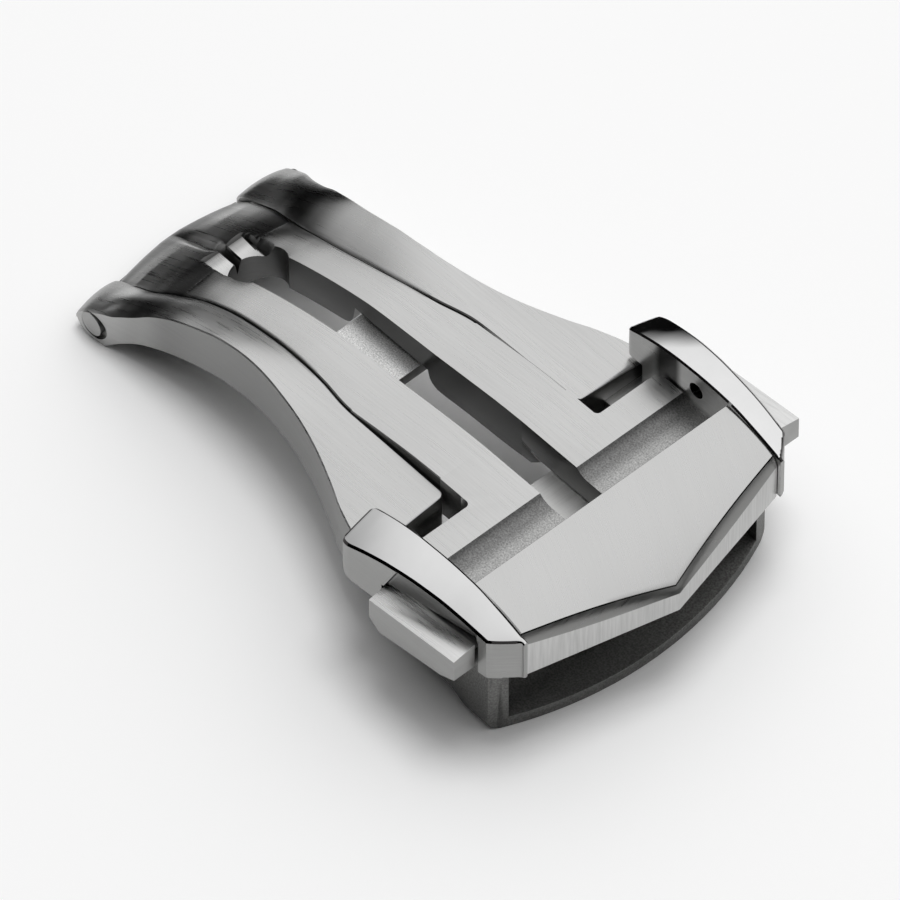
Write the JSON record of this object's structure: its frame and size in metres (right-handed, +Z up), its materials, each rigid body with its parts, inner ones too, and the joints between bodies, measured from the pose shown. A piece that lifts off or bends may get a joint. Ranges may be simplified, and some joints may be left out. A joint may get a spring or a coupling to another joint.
{
  "type": "deployant clasp",
  "caption": "Single-fold deployant clasp: arched slotted blade with a chevron head and side pushers over a flared lower blade with a strap loop.",
  "frame": {"origin": "middle of the closed clasp's bounding box, on the surface it lies on", "axes": "+X from the hinge to the head, +Y across the strap, +Z up from the wrist side to the outside"},
  "size_m": [0.0402, 0.0246, 0.01],
  "materials": {
    "blade_steel": "brushed along the blades",
    "plate_steel": "fine brushed",
    "mirror_steel": "mirror polished top, brushed sides",
    "blasted_steel": "sandblasted",
    "pin_steel": "turned",
    "spring_steel": "drawn wire"
  },
  "bodies": {
    "lower_blade": {"outer_blade": "blade_steel", "strap_loop": "blasted_steel", "loop_rivets": "pin_steel", "hinge_pin": "pin_steel", "clamp_pin": "pin_steel"},
    "upper_blade": {"centre_blade": "blade_steel", "horn_left": "mirror_steel", "horn_right": "mirror_steel", "horn_dowels_left": "pin_steel", "horn_dowels_right": "pin_steel", "cover_plate": "plate_steel", "cover_screws": "pin_steel", "spring_guide_left": "pin_steel", "spring_guide_right": "pin_steel", "pusher_spring_left": "spring_steel", "pusher_spring_right": "spring_steel"},
    "left_pusher": {"pusher_left": "plate_steel"},
    "right_pusher": {"pusher_right": "plate_steel"},
    "flap": {"clamp_flap": "blasted_steel"}
  },
  "joints": [
    {"name": "main_hinge", "type": "hinge", "parent": "lower_blade", "child": "upper_blade", "pos_m": [-0.01792, 0, 0.0012], "axis": [0, -1, 0], "range_deg": [0, 165]},
    {"name": "left_pusher_slide", "type": "slide", "parent": "upper_blade", "child": "left_pusher", "axis": [0, -1, 0], "range_m": [0, 0.0008], "stiffness_N_per_m": 200, "springref_m": -0.0004, "deforming": ["pusher_spring_left"]},
    {"name": "right_pusher_slide", "type": "slide", "parent": "upper_blade", "child": "right_pusher", "axis": [0, 1, 0], "range_m": [0, 0.0008], "stiffness_N_per_m": 200, "springref_m": -0.0004, "deforming": ["pusher_spring_right"]},
    {"name": "flap_hinge", "type": "hinge", "parent": "lower_blade", "child": "flap", "pos_m": [0.00797, 0, 0.00235], "axis": [0, 1, 0], "range_deg": [0, 70]}
  ]
}
